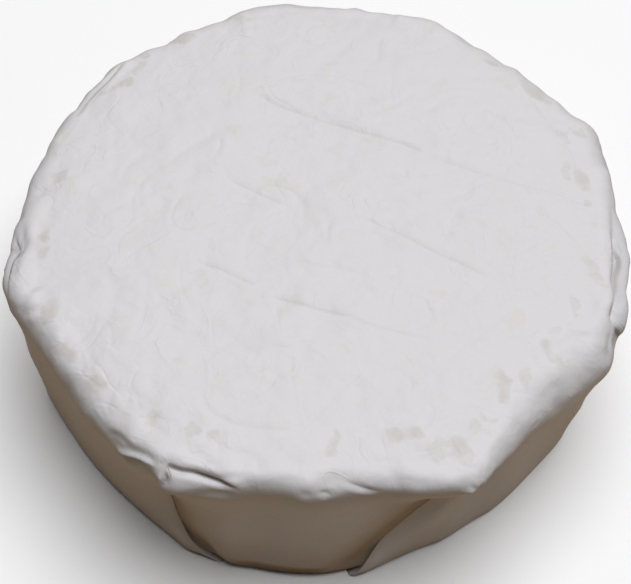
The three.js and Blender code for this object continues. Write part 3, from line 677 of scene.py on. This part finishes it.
def beside_line(spot, facing, line):
    """How far each spot lies to the right of a line, seen from outside, how far along, and its length."""
    best = np.full(len(spot), np.inf)
    aside, along = np.zeros(len(spot)), np.zeros(len(spot))
    walked = 0.0
    for start, end in zip(line[:-1], line[1:]):
        length = np.linalg.norm(end - start)
        way = (end - start) / length
        share = np.clip((spot - start) @ way, 0, length)
        gap = spot - start - share[:, None] * way
        gap = gap - np.einsum("ij,ij->i", gap, facing)[:, None] * facing
        distance = np.linalg.norm(gap, axis=1)
        right = np.einsum("ij,ij->i", np.cross(gap, way), facing)
        closer = distance < best
        best = np.where(closer, distance, best)
        aside = np.where(closer, np.sign(right) * distance, aside)
        along = np.where(closer, walked + share, along)
        walked += length
    return aside, along, walked


class Creases:
    """Creases laid over the paper: their relief, and for the material where their dark lines of painted
    shade are.
    """

    def __init__(self, points):
        self.relief = np.zeros(len(points))
        self.apart = np.full(len(points), CREASE_FAR)
        self.shade = np.zeros(len(points))
        waver = [WAVER * lattice_noise(points, WAVER_SIZE, seed) for seed in (11, 12, 13)]
        self.waver = np.stack(waver, axis=1)
        self.uneven = 1 + UNEVEN * lattice_noise(points, UNEVEN_SIZE, 14)

    def add(self, points, facing, line, sizes, reach, share):
        """Lays one crease over the points, in full where share is 1."""
        width, depth, fold, step, dark = sizes
        around = max(reach if step else 0, 4 * width) + 1
        near = (points > line.min(axis=0) - around) & (points < line.max(axis=0) + around)
        near = np.flatnonzero(near.all(axis=1) & (share > 0))
        aside, along, length = beside_line(points[near] + self.waver[near], facing[near], line)
        end = min(CREASE_ENDS, length / 2)
        shows = within(along, 0, length, end, end) * self.uneven[near] * share[near]
        groove = depth * bell(aside, width)
        beside = fold * bell(aside - 2 * width, 1.2 * width)
        lower = step * ramp(aside, -width, width) * (1 - ramp(aside, reach / 3, reach))
        self.relief[near] += shows * (beside - groove - lower)
        apart = np.clip(aside / (SHADE_SHARE * width), -CREASE_FAR, CREASE_FAR)
        nearer = (dark > 0) & (np.abs(apart) < np.abs(self.apart[near])) & (shows > 0)
        self.apart[near[nearer]] = apart[nearer]
        fading = 1 - ramp(np.abs(apart), CREASE_FAR / 2, CREASE_FAR)
        self.shade[near[nearer]] = (dark * shows * fading)[nearer]


def bare_rim(angle, slope):
    """The bare rim's point at an angle and a place on its rounding."""
    angle = np.array([float(angle)])
    return polar(angle, *rim_form(angle, slope))[0]


def lay_creases(points, facing):
    creases = Creases(points)
    flat, level = points * (1, 1, 0), np.tile((0.0, 0.0, 1.0), (len(points), 1))
    upward = ramp(facing[:, 2], *TURNED_UP)
    strengths = [1.0] * len(RACK_MARKS) + [TOP_STRENGTH] * len(TOP_CREASES)
    for (line, *sizes), strength in zip(RACK_MARKS + TOP_CREASES, strengths):
        path = np.array([(x, y, 0.0) for x, y in cut_corners(line)])
        creases.add(flat, level, path, sizes, TOP_REACH, strength * upward)
    for line, *sizes in RIM_CREASES:
        path = np.array([bare_rim(*place) for place in cut_corners(line)])
        creases.add(points, facing, path, sizes, RIM_REACH, np.ones(len(points)))
    return creases


def fine_relief(points, facing):
    """Lumps and crumples of the paper on the rind."""
    upward = ramp(facing[:, 2], *TURNED_UP)
    drift = np.stack([lattice_noise(points, DRIFT_SIZE, seed) for seed in (21, 22, 23)], axis=1)
    patchy = patches(points, *CREASED_PATCHES, 33)
    winding = lattice_noise(points + WINDING_DRIFT * drift, WINDING_SIZE, 24)
    finer = lattice_noise(points + FINER_DRIFT * drift, FINER_SIZE, 25)
    lumps = lattice_noise(points, LUMP_SIZE, 26)
    small = lattice_noise(points, SMALL_LUMP_SIZE, 28)
    radius = np.hypot(points[:, 0], points[:, 1])
    outward = points * (1, 1, 0) / np.maximum(1, radius)[:, None] * RADIUS
    pucker = lattice_noise(outward, PUCKER_SIZE, 29) * patches(points, *PUCKER_PATCHES, 30)
    creased = WINDING_CREASES * patchy * bell(winding, WINDING_WIDTH)
    creased = creased + FINER_CREASES * (1 - patchy) * bell(finer, FINER_WIDTH)
    top = upward * (TOP_LUMPS * lumps + TOP_SMALL_LUMPS * small - creased)
    on_side = ramp(points[:, 2], *SIDE_HEIGHTS) * (1 - upward)
    side = on_side * (SIDE_LUMPS * lattice_noise(points, SIDE_LUMP_SIZE, 27) + SIDE_PUCKERS * pucker)
    on_rim = bell(radius - RADIUS + 1, RIM_BAND) * ramp(points[:, 2], *RIM_HEIGHTS)
    return top + side + on_rim * (RIM_LUMPS * lumps + RIM_FINER_LUMPS * finer + RIM_PUCKERS * pucker)


def damp_share(points):
    """How damp the paper is at each point: 1 at most, 0 at the edge of a patch, -1 far outside."""
    damp = np.full(len(points), -1.0)
    stray = [DAMP_STRAY * lattice_noise(points, DAMP_STRAY_SIZE, seed) for seed in (34, 35)]
    stray = np.stack(stray, axis=1)
    down = (DAMP_LEVEL - points[:, 2]) / DAMP_DROP
    for x, y, length, width, turn, dampness in DAMP_PATCHES:
        length, width = length + DAMP_SPREAD, width + DAMP_SPREAD
        way = np.array((math.cos(math.radians(turn)), math.sin(math.radians(turn))))
        off = points[:, :2] + stray - (x, y)
        along, aside = off @ way, off @ np.array((-way[1], way[0]))
        inside = 1 - (2 * along / length) ** 2 - (2 * aside / width) ** 2 - down**2
        damp = np.maximum(damp, np.minimum(inside, dampness))
    return damp


def painted_rim_shade(points, facing):
    """Painted shade round the rim, where it rounds over to the side."""
    slope = np.degrees(np.arccos(np.clip(facing[:, 2], 0, 1)))
    angle = np.degrees(np.arctan2(points[:, 1], points[:, 0]))
    clear = RIM_SHADE * ramp(slope, *RIM_SHADE_SLOPES)
    patchy = patches(points, *SHADED_STRETCH_PATCHES, 36)
    for low, high, share in SHADED_STRETCHES:
        half = (high - low) / 2
        stretch_shade = within(turn_between(angle, low + half), -half, half, SHADED_STRETCH_END, SHADED_STRETCH_END)
        clear = np.maximum(clear, share * stretch_shade * patchy * ramp(slope, *SHADED_STRETCH_SLOPES))
    return clear * ramp(points[:, 2], *RIM_SHADE_HEIGHTS)


def make_piece(name, points, faces):
    mesh = bpy.data.meshes.new(name)
    corners = [face[:3] if face[2] == face[3] else face for face in faces.tolist()]
    mesh.from_pydata((points * MM).tolist(), [], corners)
    mesh.polygons.foreach_set("use_smooth", [True] * len(mesh.polygons))
    mesh.update()
    piece = bpy.data.objects.new(name, mesh)
    bpy.context.scene.collection.objects.link(piece)
    return piece


points, facing, fold_shades, faces = build_mesh()
lowest, highest = points.min(axis=0), points.max(axis=0)
axis = np.array([-(lowest[0] + highest[0]) / 2, -(lowest[1] + highest[1]) / 2, 0])
creases = lay_creases(points, facing)
relief = (fine_relief(points, facing) + creases.relief)[:, None] * facing
wrap = make_piece("paper_wrap", points + relief + axis, faces)
# What the paper's material reads from the mesh, point by point.
masks = {
    "damp": damp_share(points),
    # painted shade round the rim
    "rim_shade": painted_rim_shade(points, facing),
    # painted shade in the folds and along the foot
    "fold": fold_shades,
    "crease": creases.apart,
    # painted shade on the dark line of each crease
    "crease_shade": creases.shade,
    "crumpled": SIDE_CRUMPLED + (1 - SIDE_CRUMPLED) * ramp(facing[:, 2], *CRUMPLED_TURN),
}
for name, values in masks.items():
    wrap.data.attributes.new(name, "FLOAT", "POINT").data.foreach_set("value", values)

# -------------------- materials


PAPER = (0.66, 0.64, 0.66, 1)
PAPER_COOL = (0.651, 0.638, 0.65, 1)
PAPER_CREAM = (0.645, 0.62, 0.615, 1)
DAMP = (0.612, 0.587, 0.588, 1)
DAMP_CORE = (0.575, 0.548, 0.535, 1)
# Painted shade round the rim.
RIM_SHADE_TINT = (0.75, 0.76, 0.775, 1)
# Painted shade in the folds, and deeper still along the foot of a tucked panel.
FOLD_SHADE_TINT = (0.68, 0.57, 0.44, 1)
FOOT_SHADE_TINT = (0.5, 0.48, 0.46, 1)
# Painted shade on the dark line of a crease.
CREASE_SHADE_TINT = (0.27, 0.215, 0.155, 1)
ROUGHNESS = 0.6

# Noise in the colour: its scale, in lumps to the metre, and the values between which a colour sets in.
MOTTLE_SCALE = 120.0
MOTTLE_RANGE = (0.4, 0.6)
CREAM_SCALE = 260.0
CREAM_RANGE = (0.56, 0.72)
RAGGED_SCALE = 420.0
RAGGED = 2.6  # how much of it is added to the dampness, for a ragged edge
DAMP_RANGE = (1.05, 1.7)
DAMP_CORE_RANGE = (1.7, 2.2)

# Noise in the bump: its scale, and its height in millimetres.
FACET_SCALE = 300.0
FACET_HEIGHT = 0.155
FIBRE_SCALE = 1500.0
FIBRE_HEIGHT = 0.012
# Crumples: scale, share of the noise's range that a fold takes, and its height.
CRUMPLES = [(100.0, 0.06, -0.055), (190.0, 0.08, 0.04)]
BREAK_SCALE = 0.8  # scale of the noise that breaks up the folds, against theirs, and where it does so
BREAK_RANGE = (0.4, 0.7)
CREASE_DEPTH = 0.25


class Shading:
    """The nodes of one material, made one by one."""

    def __init__(self, name):
        self.material = bpy.data.materials.new(name)
        self.material.use_nodes = True
        self.nodes, self.links = self.material.node_tree.nodes, self.material.node_tree.links
        self.shader = self.nodes["Principled BSDF"]
        self.place = self.nodes.new("ShaderNodeTexCoord").outputs["Object"]

    def noise(self, scale, detail, seed, distortion=0.0):
        shift = self.nodes.new("ShaderNodeVectorMath")
        shift.inputs[1].default_value = (seed, seed, seed)
        self.links.new(self.place, shift.inputs[0])
        texture = self.nodes.new("ShaderNodeTexNoise")
        texture.inputs["Scale"].default_value = scale
        texture.inputs["Detail"].default_value = detail
        texture.inputs["Distortion"].default_value = distortion
        self.links.new(shift.outputs["Vector"], texture.inputs["Vector"])
        return texture.outputs["Fac"]

    def attribute(self, name):
        node = self.nodes.new("ShaderNodeAttribute")
        node.attribute_name = name
        return node.outputs["Fac"]

    def spread(self, value, low, high):
        """0 where the value is low and 1 where it is high, smoothly."""
        share = self.nodes.new("ShaderNodeMapRange")
        share.interpolation_type = "SMOOTHSTEP"
        share.inputs["From Min"].default_value = low
        share.inputs["From Max"].default_value = high
        self.links.new(value, share.inputs["Value"])
        return share.outputs["Result"]

    def math(self, operation, first, second):
        node = self.nodes.new("ShaderNodeMath")
        node.operation = operation
        for socket, value in zip(node.inputs, (first, second)):
            if isinstance(value, float):
                socket.default_value = value
            else:
                self.links.new(value, socket)
        return node.outputs["Value"]

    def blend(self, mode, factor, first, second):
        mix = self.nodes.new("ShaderNodeMix")
        mix.data_type = "RGBA"
        mix.blend_type = mode
        self.links.new(factor, mix.inputs["Factor"])
        for socket, value in zip((mix.inputs["A"], mix.inputs["B"]), (first, second)):
            if isinstance(value, tuple):
                socket.default_value = value
            else:
                self.links.new(value, socket)
        return mix.outputs["Result"]

    def crumple(self, scale, width, seed):
        """Soft winding folds, broken up: 1 on a fold and 0 off it."""
        winding = self.noise(scale, detail=1.0, seed=seed, distortion=1.0)
        off = self.math("ABSOLUTE", self.math("SUBTRACT", winding, 0.5), 0.0)
        line = self.spread(off, width, 0.0)
        breaks = self.noise(scale * BREAK_SCALE, detail=1.0, seed=seed + 5.0)
        return self.math("MULTIPLY", line, self.spread(breaks, *BREAK_RANGE))

    def crease_line(self):
        """1 on the dark line of painted shade along a crease and 0 beside it, by the mesh's own distances.
        """
        apart = self.attribute("crease")
        inside = self.math("SUBTRACT", 1.0, self.math("MULTIPLY", apart, apart))
        inside = self.math("MAXIMUM", inside, 0.0)
        return self.math("MULTIPLY", self.math("MULTIPLY", inside, inside), self.attribute("crease_shade"))


def paper_color(paper, crease):
    mottle = paper.noise(MOTTLE_SCALE, detail=2.0, seed=1.0)
    color = paper.blend("MIX", paper.spread(mottle, *MOTTLE_RANGE), PAPER, PAPER_COOL)
    cream = paper.noise(CREAM_SCALE, detail=3.0, seed=2.0, distortion=0.8)
    color = paper.blend("MIX", paper.spread(cream, *CREAM_RANGE), color, PAPER_CREAM)
    ragged = paper.noise(RAGGED_SCALE, detail=3.0, seed=3.0, distortion=0.8)
    wet = paper.math("ADD", paper.attribute("damp"), paper.math("MULTIPLY", ragged, RAGGED))
    color = paper.blend("MIX", paper.spread(wet, *DAMP_RANGE), color, DAMP)
    color = paper.blend("MIX", paper.spread(wet, *DAMP_CORE_RANGE), color, DAMP_CORE)
    # Painted shade round the rim.
    color = paper.blend("MULTIPLY", paper.attribute("rim_shade"), color, RIM_SHADE_TINT)
    # Painted shade in the folds, beside the free edges and along the foot of the tucked panels.
    fold = paper.attribute("fold")
    color = paper.blend("MULTIPLY", fold, color, FOLD_SHADE_TINT)
    color = paper.blend("MULTIPLY", paper.math("SUBTRACT", fold, 1.0), color, FOOT_SHADE_TINT)
    # Painted shade on the dark line of each crease.
    return paper.blend("MULTIPLY", crease, color, CREASE_SHADE_TINT)


def paper_height(paper, crease):
    """Height in millimetres of what is too fine for the mesh: facets, crumples, fibre and creases."""
    facets = paper.noise(FACET_SCALE, detail=2.0, seed=4.0, distortion=0.8)
    height = paper.math("MULTIPLY", facets, FACET_HEIGHT)
    for i, (scale, width, raised) in enumerate(CRUMPLES):
        line = paper.crumple(scale, width, 10.0 + i)
        height = paper.math("ADD", height, paper.math("MULTIPLY", line, raised))
    height = paper.math("MULTIPLY", height, paper.attribute("crumpled"))
    fibre = paper.noise(FIBRE_SCALE, detail=4.0, seed=6.0)
    height = paper.math("ADD", height, paper.math("MULTIPLY", fibre, FIBRE_HEIGHT))
    return paper.math("SUBTRACT", height, paper.math("MULTIPLY", crease, CREASE_DEPTH))


def paper_material():
    paper = Shading("wrapping_paper")
    crease = paper.crease_line()
    paper.shader.inputs["Roughness"].default_value = ROUGHNESS
    paper.links.new(paper_color(paper, crease), paper.shader.inputs["Base Color"])
    bump = paper.nodes.new("ShaderNodeBump")
    bump.inputs["Distance"].default_value = MM
    paper.links.new(paper_height(paper, crease), bump.inputs["Height"])
    paper.links.new(bump.outputs["Normal"], paper.shader.inputs["Normal"])
    return paper.material


wrap.data.materials.append(paper_material())
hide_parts("wrapped_wheel")
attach(wrap, "root")

# -------------------- floor, light and camera
# Sizes here are metres, as everything that isn't the wheel.
FLOOR_SIZE = 6.0
FLOOR_COLOR = (0.92, 0.92, 0.93, 1)
FLOOR_ROUGHNESS = 0.9
FLOOR_SPECULAR = 0.1
BOUNCE_COLOR = (0.398, 0.304, 0.204, 1)
BOUNCE_DEPTH = 0.0002
KEY_PLACE = (0.34, 0.4, 2.4)
KEY_SIZE = 2.5
KEY_POWER = 74.5
WORLD_STRENGTH = 0.035


def make_plane(name, height, color):
    half = FLOOR_SIZE / 2
    mesh = bpy.data.meshes.new(name)
    corners = [(-half, -half, height), (half, -half, height), (half, half, height), (-half, half, height)]
    mesh.from_pydata(corners, [], [(0, 1, 2, 3)])
    material = bpy.data.materials.new(name)
    material.use_nodes = True
    shader = material.node_tree.nodes["Principled BSDF"]
    shader.inputs["Base Color"].default_value = color
    shader.inputs["Roughness"].default_value = FLOOR_ROUGHNESS
    shader.inputs["Specular IOR Level"].default_value = FLOOR_SPECULAR
    mesh.materials.append(material)
    plane = bpy.data.objects.new(name, mesh)
    bpy.context.scene.collection.objects.link(plane)
    return plane


def make_floor():
    """A pale floor to look at, over a warmer one that sends its light back up onto the wheel."""
    seen = make_plane("floor", 0.0, FLOOR_COLOR)
    seen.visible_diffuse = False
    seen.visible_glossy = False
    seen.visible_transmission = False
    seen.visible_shadow = False
    bounce = make_plane("floor_bounce", -BOUNCE_DEPTH, BOUNCE_COLOR)
    bounce.visible_camera = False


def make_light():
    light = bpy.data.lights.new("overhead", "AREA")
    light.shape = "DISK"
    light.size = KEY_SIZE
    light.energy = KEY_POWER
    lamp = bpy.data.objects.new("overhead", light)
    lamp.location = KEY_PLACE
    lamp.rotation_euler = (-lamp.location).to_track_quat("-Z", "Y").to_euler()
    bpy.context.scene.collection.objects.link(lamp)


def make_world():
    world = bpy.data.worlds.new("studio")
    world.use_nodes = True
    background = world.node_tree.nodes["Background"]
    background.inputs["Color"].default_value = (1, 1, 1, 1)
    background.inputs["Strength"].default_value = WORLD_STRENGTH
    bpy.context.scene.world = world


# The camera stands in front of the wheel and looks down on it. Its place is in the wheel's millimetres.
PHOTO_WIDTH = 631
FOCAL_PIXELS = 1300
SENSOR_WIDTH = 36.0
CAMERA_CLIP_START = 0.01
CAMERA_ELEVATION = 55.36
CAMERA_DISTANCE = 245.24
CAMERA_AIM = (-0.43, -5.28, 18.5)  # about the wheel's axis
CAMERA_ROLL = 2.13


def make_camera():
    data = bpy.data.cameras.new("camera")
    data.sensor_width = SENSOR_WIDTH
    data.lens = FOCAL_PIXELS * SENSOR_WIDTH / PHOTO_WIDTH
    data.clip_start = CAMERA_CLIP_START
    data.dof.use_dof = False
    camera = bpy.data.objects.new("camera", data)
    bpy.context.scene.collection.objects.link(camera)
    elevation = math.radians(CAMERA_ELEVATION)
    back = Vector((0, -math.cos(elevation), math.sin(elevation)))
    aim = (Vector(CAMERA_AIM) + Vector(axis)) * MM
    turn = (-back).to_track_quat("-Z", "Y").to_matrix() @ Matrix.Rotation(math.radians(CAMERA_ROLL), 3, "Z")
    camera.matrix_world = Matrix.Translation(aim + back * CAMERA_DISTANCE * MM) @ turn.to_4x4()
    bpy.context.scene.camera = camera


make_floor()
make_world()
make_light()
make_camera()
bpy.context.scene.view_settings.view_transform = "Standard"
